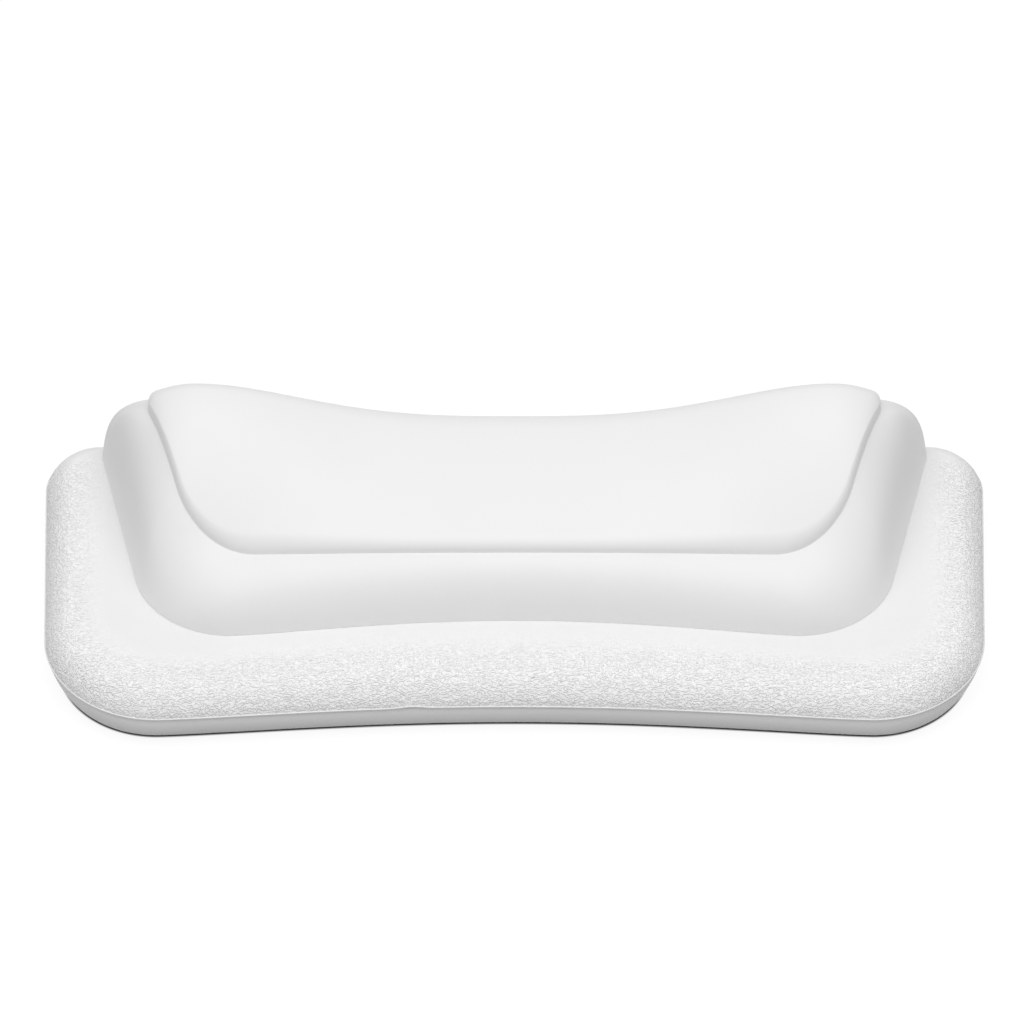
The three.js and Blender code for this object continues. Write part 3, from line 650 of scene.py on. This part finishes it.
END_WALL_FRONT = 1.15
END_WALL_BACK = 5.4
FRONT_REACH = 1.0  # how much of its rounding a wall has passed where the pad starts
END_REACH = 0.08
FOOT_FLARE = 0.16  # share of an end wall that curves out into its foot
CREASE_GAP = 0.05
CREASE_ANGLE = math.radians(60)
WALL_RINGS = 52
UNDER_PAD = [0.97, 0.9, 0.75, 0.5, 0.25]

roll_foot_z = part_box("neck_roll")[0][2] / MM


def wall_rise(distance, fullness):
    """Height of a rounded wall, from 0 at its foot to 1 where its rounding ends."""
    left = 1 - np.clip(distance, 0, 1)
    return (1 - left ** fullness) ** (1 / fullness)


def crown_height(x, y):
    """Height over the flange before the ends and the back are rounded off."""
    lobe = roll_foot["back_half"] - ROLL_LOBE_INSET
    climbed = np.minimum(np.abs(x) / lobe, 1) ** LOBE_POWER
    fallen = np.maximum(np.abs(x) - lobe, 0) / ROLL_LOBE_FALL
    lobe_share = (np.sin(math.pi / 2 * climbed) * np.cos(math.pi / 2 * fallen)) ** 2
    ridge = ROLL_DIP_HEIGHT + (ROLL_LOBE_HEIGHT - ROLL_DIP_HEIGHT) * lobe_share
    ridge_y = roll_foot["back"] - ROLL_BACK_ROUND
    along = (y - pad_edge["front"]) / (ridge_y - pad_edge["front"])
    climb = (1 + RIDGE_EASE) * along - RIDGE_EASE * along ** 3
    return ROLL_FRONT_HEIGHT + (ridge - ROLL_FRONT_HEIGHT) * climb


def back_rounding(y):
    """How far the roll's back has risen, from 0 at its foot to 1 along the ridge."""
    return wall_rise((roll_foot["back"] - y) / ROLL_BACK_ROUND, FULL_ROUND)


def roll_top(points):
    """The roll's surface inside the pad's outline."""
    x, y = points[:, 0], points[:, 1]
    share = (roll_foot["back"] - y) / (roll_foot["back"] - roll_foot["front"])
    end = roll_foot["back_half"] + (roll_foot["front_half"] - roll_foot["back_half"]) * share
    ends = wall_rise((end - np.abs(x)) / ROLL_SIDE_ROUND, FULL_ROUND)
    return roll_foot_z + crown_height(x, y) * ends * back_rounding(y)


pad_centre = np.array([0, (pad_edge["front"] + pad_edge["back"]) / 2])
foot = plan(roll_foot)
edge = plan(pad_edge)
tangent = np.roll(foot, -1, axis=0) - np.roll(foot, 1, axis=0)
tangent /= np.linalg.norm(tangent, axis=1, keepdims=True)
facing_front = np.maximum(tangent[:, 0], 0) ** 2
facing_end = tangent[:, 1] ** 2
towards_back = (foot[:, 1] - roll_foot["front"]) / (roll_foot["back"] - roll_foot["front"])
end_wall = END_WALL_FRONT + (END_WALL_BACK - END_WALL_FRONT) * np.clip(towards_back, 0, 1)
towards_corner = (foot[:, 0] / roll_foot["front_half"]) ** 2
front_wall = FRONT_WALL + (CORNER_WALL - FRONT_WALL) * towards_corner
fullness = (FULL_ROUND + (front_wall - FULL_ROUND) * facing_front
            + (end_wall - FULL_ROUND) * facing_end)
reach = END_REACH + (FRONT_REACH - END_REACH) * facing_front ** 2
crease_z = flange_z + CREASE_GAP
walls = [ring(foot, crease_z)]
for share in 1 - np.cos(np.linspace(0, math.pi / 2, WALL_RINGS)):
    points = foot + (edge - foot) * share
    rise = wall_rise(share * reach, fullness) / wall_rise(reach, fullness)
    flare = share / np.hypot(share, FOOT_FLARE) * math.hypot(1, FOOT_FLARE)
    fall = np.minimum(back_rounding(points[:, 1]) / back_rounding(edge[:, 1]), 1)
    rise = rise * (1 + (flare * fall - 1) * facing_end ** 2)
    walls.append(ring(points, crease_z + (roll_top(edge) - crease_z) * rise))
for share in UNDER_PAD:
    points = pad_centre + (edge - pad_centre) * share
    walls.append(ring(points, roll_top(points)))
neck_roll = lofted("neck_roll_cushion", walls)
neck_roll.data.set_sharp_from_angle(angle=CREASE_ANGLE)

smooth_roll_skin = moulded_skin("Smooth roll skin", ("#F2F2F2", "#EEEEEE"),
                                roughness=0.5, tooth=0.018)
neck_roll.data.materials.append(smooth_roll_skin)
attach(neck_roll, "pillow")
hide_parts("neck_roll")

# Face pad
# A thin cushion of denser foam bonded to the crown of the roll, with a smooth skin and a soft
# rounded edge that ends in a crisp groove. Its lower edge is straight and its ends slant.

PAD_RISE = 3.8
PAD_EDGE_RUN = 4.2
PAD_END_RUN = 1.3
PAD_EDGE_DROP = 3.2
PAD_DRAFT = 0.15
PAD_SEAT = 0.03
SEAT_SHARES = [0.25, 0.5, 0.75, 0.9, 1]
DRAFT_SHARES = [0.15, 0.4, 0.7]
PAD_EDGE_RINGS = 14
CROWN_SHARES = np.concatenate([np.linspace(1, 0.04, 60)[1:], [0.015]])

rings = []
for share in SEAT_SHARES:
    points = pad_centre + (edge - pad_centre) * share
    rings.append(ring(points, roll_top(points) + PAD_SEAT))
wall_height = PAD_RISE - PAD_EDGE_DROP
for share in DRAFT_SHARES:
    points = plan(inset(pad_edge, PAD_DRAFT * share))
    rings.append(ring(points, roll_top(points) + PAD_SEAT + (wall_height - PAD_SEAT) * share))
for a in np.linspace(0, math.pi / 2, PAD_EDGE_RINGS):
    run = 1 - math.cos(a)
    shape = inset(pad_edge, PAD_DRAFT + PAD_EDGE_RUN * run, PAD_DRAFT + PAD_END_RUN * run)
    points = plan(shape)
    rings.append(ring(points, roll_top(points) + wall_height + PAD_EDGE_DROP * math.sin(a)))
top_edge = rings[-1][:, :2]
for share in CROWN_SHARES:
    points = pad_centre + (top_edge - pad_centre) * share
    rings.append(ring(points, roll_top(points) + PAD_RISE))
face_pad = lofted("face_pad_cushion", rings)

smooth_pad_skin = moulded_skin("Smooth pad skin", ("#F2F2F2", "#F0F0F0"),
                               roughness=0.5, tooth=0.008)
face_pad.data.materials.append(smooth_pad_skin)
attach(face_pad, "pillow")
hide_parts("face_pad")

# Suction cups
# Clear-white soft vinyl, glossy from a polished mould. The stem's mushroom head is pressed through
# the socket, where it turns freely, and a tab on the lip peels the cup off the tub.

CUP_RADIUS = 22.0
CUP_LIP_WIDTH = 3.0
CUP_LIP_THICKNESS = 1.0
CUP_HEIGHT = 8.0
CUP_CROWN = 3.0
CUP_SHOULDER = 9.0
LIP_EDGE = 0.15
STEM_RADIUS = 4.3
STEM_FILLET = 1.2
HEAD_RADIUS = 6.2
HEAD_HEIGHT = 1.8
TAB_LENGTH = 7.0
TAB_WIDTH = 10.0
TAB_THICKNESS = 1.4
TAB_LIFT = 0.4
TAB_EDGE = 0.4
TAB_STEPS = 25
CURVE_STEPS = 18
VINYL_HAZE = 6.0
VINYL_IOR = 1.53
VINYL_CLEARNESS = 0.45

# Soft vinyl lets some light through, and its gloss has a faint haze where the plasticiser sweats.
soft_vinyl = clouded("Clear-white soft vinyl", VINYL_IOR, VINYL_HAZE,
                     tones=("#EDF1F1", "#DDE5E6"), gloss=(0.1, 0.24), detail=3.0)
shader = soft_vinyl.node_tree.nodes["Principled BSDF"]
shader.inputs["Transmission Weight"].default_value = VINYL_CLEARNESS


def bent(start, pull, end):
    """Points along a curve from start to end, drawn towards pull."""
    t = np.linspace(0, 1, CURVE_STEPS)[:, None]
    start, pull, end = (np.array(point, float) for point in (start, pull, end))
    return (1 - t) ** 2 * start + 2 * t * (1 - t) * pull + t ** 2 * end


head_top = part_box("suction_cup_lower_left")[1][2] / MM
head_z = head_top - HEAD_HEIGHT
dish_z = CUP_HEIGHT - CUP_CROWN
dish = bent([0, dish_z], [CUP_RADIUS / 2, dish_z], [CUP_RADIUS - CUP_LIP_WIDTH, 0])[1:]
back = bent([CUP_RADIUS, CUP_LIP_THICKNESS],
            [(CUP_RADIUS + CUP_SHOULDER) / 2, CUP_HEIGHT - CUP_LIP_THICKNESS],
            [CUP_SHOULDER, CUP_HEIGHT])
fillet = bent([STEM_RADIUS + STEM_FILLET, CUP_HEIGHT], [STEM_RADIUS, CUP_HEIGHT],
              [STEM_RADIUS, CUP_HEIGHT + STEM_FILLET])
head = bent([HEAD_RADIUS, head_z], [HEAD_RADIUS, head_top], [STEM_RADIUS, head_top])
cup_profile = [*dish, [CUP_RADIUS - LIP_EDGE, 0], [CUP_RADIUS, LIP_EDGE], *back, *fillet,
               [STEM_RADIUS, head_z], *head]

tongue_root = CUP_RADIUS - CUP_LIP_WIDTH / 2
tongue_end = CUP_RADIUS + TAB_LENGTH - TAB_WIDTH / 2
angles = np.linspace(-math.pi / 2, math.pi / 2, TAB_STEPS)
round_end = TAB_WIDTH / 2 * np.column_stack([np.cos(angles), np.sin(angles)]) + (tongue_end, 0)
tongue = np.concatenate([[[tongue_root, -TAB_WIDTH / 2]], round_end,
                         [[tongue_root, TAB_WIDTH / 2]]])
middle = tongue.mean(0)
drawn_in = middle + (tongue - middle) * (1 - 2 * TAB_EDGE / TAB_WIDTH)
levels = [(drawn_in, 0), (tongue, TAB_EDGE), (tongue, TAB_THICKNESS - TAB_EDGE),
          (drawn_in, TAB_THICKNESS)]
for spot, place in cup_places.items():
    cup = turned(f"suction_cup_vinyl_{spot}", cup_profile, place, TURN_STEPS)
    outward = math.copysign(1, place[0])
    tab = lofted("tab", [ring(place + outward * shape, TAB_LIFT + lift) for shape, lift in levels])
    joined(cup, "UNION", tab)
    cup.data.set_sharp_from_angle(angle=FOLD_ANGLE)
    cup.data.materials.append(soft_vinyl)
    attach(cup, f"cup_{spot}")
    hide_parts(f"suction_cup_{spot}")

# Studio
# A pale seamless floor under a large overhead softbox with even fill all round, seen through a very
# long lens 45 degrees above the pillow. The floor is white to the eye and still takes the shadow.

FLOOR_REACH = 15000.0
FLOOR_DROP = 0.02
FLOOR_WHITE = 0.9  # light of its own that the floor shows to the eye
PAINTED_SHADE_MARGIN = 14.0  # the floor's bounce is painted dark under the pillow as painted shade, fading out this far beyond it
GAP_START, GAP_END = 4.2, 5.0  # how far under the pillow the floor turns dark to the eye
TABLE_START, TABLE_END = 8.0, 13.0  # a light table under it, to show the back from below
TABLE_LIGHT = 0.7
WHITE = (1, 1, 1, 1)


def seen_by_eye(tree):
    """1 for what the camera sees, also in a gloss or through vinyl, and 0 for what lights it."""
    path = add(tree, "ShaderNodeLightPath").outputs
    seen = path["Is Camera Ray"]
    for kind in ("Is Glossy Ray", "Is Transmission Ray"):
        either = add(tree, "ShaderNodeMath", {0: seen, 1: path[kind]}, operation="MAXIMUM")
        seen = either.outputs[0]
    return seen


floor_rings = {  # by distance inside the outline: off the painted shade, off the gap, on the table
    -FLOOR_REACH: (1, 1, 0),
    -PAINTED_SHADE_MARGIN: (1, 1, 0),
    0: (0, 1, 0),
    GAP_START: (0, 1, 0),
    GAP_END: (0, 0, 0),
    TABLE_START: (0, 0, 0),
    TABLE_END: (0, 0, 1),
}
rings = [ring(plan(inset(base, distance)), -FLOOR_DROP) for distance in floor_rings]
shares = [np.repeat(share, len(rings[0])) for share in zip(*floor_rings.values())]
floor = lofted("studio_floor", rings, dict(zip(("off_painted_shade", "off_gap", "on_table"), shares)),
               open_start=True)
paper = bpy.data.materials.new("Studio paper")
paper.use_nodes = True
tree = paper.node_tree
tree.nodes.clear()
# The bounce is painted dark under the pillow, as painted shade for the rim's lower edge.
off_painted_shade = add(tree, "ShaderNodeAttribute", attribute_name="off_painted_shade")
shaded_bounce = add(tree, "ShaderNodeMix", {
    "Factor": off_painted_shade.outputs["Fac"], "A": linear("#585858"), "B": linear("#B0B0B0")},
    data_type="RGBA")
bounce = add(tree, "ShaderNodeBsdfDiffuse", {"Color": shaded_bounce.outputs["Result"]})
on_table = add(tree, "ShaderNodeAttribute", attribute_name="on_table")
light = add(tree, "ShaderNodeMath", {0: on_table.outputs["Fac"], 1: TABLE_LIGHT},
            operation="MULTIPLY")
glow = add(tree, "ShaderNodeEmission", {"Color": WHITE, "Strength": light.outputs[0]})
lit = add(tree, "ShaderNodeAddShader", {0: bounce.outputs[0], 1: glow.outputs[0]})
off_gap = add(tree, "ShaderNodeAttribute", attribute_name="off_gap")
light = add(tree, "ShaderNodeMath", {0: off_gap.outputs["Fac"], 1: FLOOR_WHITE},
            operation="MULTIPLY")
glow = add(tree, "ShaderNodeEmission", {"Color": WHITE, "Strength": light.outputs[0]})
faint = add(tree, "ShaderNodeBsdfDiffuse", {"Color": linear("#6C6C6C")})
white = add(tree, "ShaderNodeAddShader", {0: faint.outputs[0], 1: glow.outputs[0]})
mixed = add(tree, "ShaderNodeMixShader", {
    0: seen_by_eye(tree), 1: lit.outputs[0], 2: white.outputs[0]})
below = add(tree, "ShaderNodeNewGeometry").outputs["Backfacing"]
clear = add(tree, "ShaderNodeBsdfTransparent")
sided = add(tree, "ShaderNodeMixShader", {0: below, 1: mixed.outputs[0], 2: clear.outputs[0]})
add(tree, "ShaderNodeOutputMaterial", {"Surface": sided.outputs[0]})
floor.data.materials.append(paper)

FILL_LIGHT = 0.545
world = bpy.data.worlds.new("Studio fill")
world.use_nodes = True
bpy.context.scene.world = world
tree = world.node_tree
tree.nodes.clear()
level = add(tree, "ShaderNodeMapRange", {
    "Value": seen_by_eye(tree), "To Min": FILL_LIGHT, "To Max": 1.0})
sky = add(tree, "ShaderNodeBackground", {"Color": WHITE, "Strength": level.outputs[0]})
add(tree, "ShaderNodeOutputWorld", {"Surface": sky.outputs[0]})

SOFTBOX_SIZE = 1.3
SOFTBOX_DISTANCE = 1.3
SOFTBOX_LEAN = math.radians(15)
SOFTBOX_POWER = 9.6
lamp = bpy.data.lights.new("overhead_softbox", "AREA")
lamp.shape = "SQUARE"
lamp.size = SOFTBOX_SIZE
lamp.energy = SOFTBOX_POWER
softbox = bpy.data.objects.new("overhead_softbox", lamp)
softbox.location = (0, -SOFTBOX_DISTANCE * math.sin(SOFTBOX_LEAN),
                    SOFTBOX_DISTANCE * math.cos(SOFTBOX_LEAN))
softbox.rotation_euler = (-SOFTBOX_LEAN, 0, 0)
bpy.context.scene.collection.objects.link(softbox)

LENS = 1500.0
SENSOR = 36.0
VIEW_WIDTH = 361.07 * MM
ELEVATION = math.radians(45)
AIM = (-0.88 * MM, 30.5 * MM, 20.0 * MM)
distance = VIEW_WIDTH * LENS / SENSOR
eye = bpy.data.cameras.new("camera")
eye.lens = LENS
eye.sensor_width = SENSOR
eye.clip_end = 2 * distance
camera = bpy.data.objects.new("camera", eye)
camera.location = (AIM[0], AIM[1] - distance * math.cos(ELEVATION),
                   AIM[2] + distance * math.sin(ELEVATION))
camera.rotation_euler = (math.pi / 2 - ELEVATION, 0, 0)
bpy.context.scene.collection.objects.link(camera)
bpy.context.scene.camera = camera
bpy.context.scene.view_settings.view_transform = "Standard"
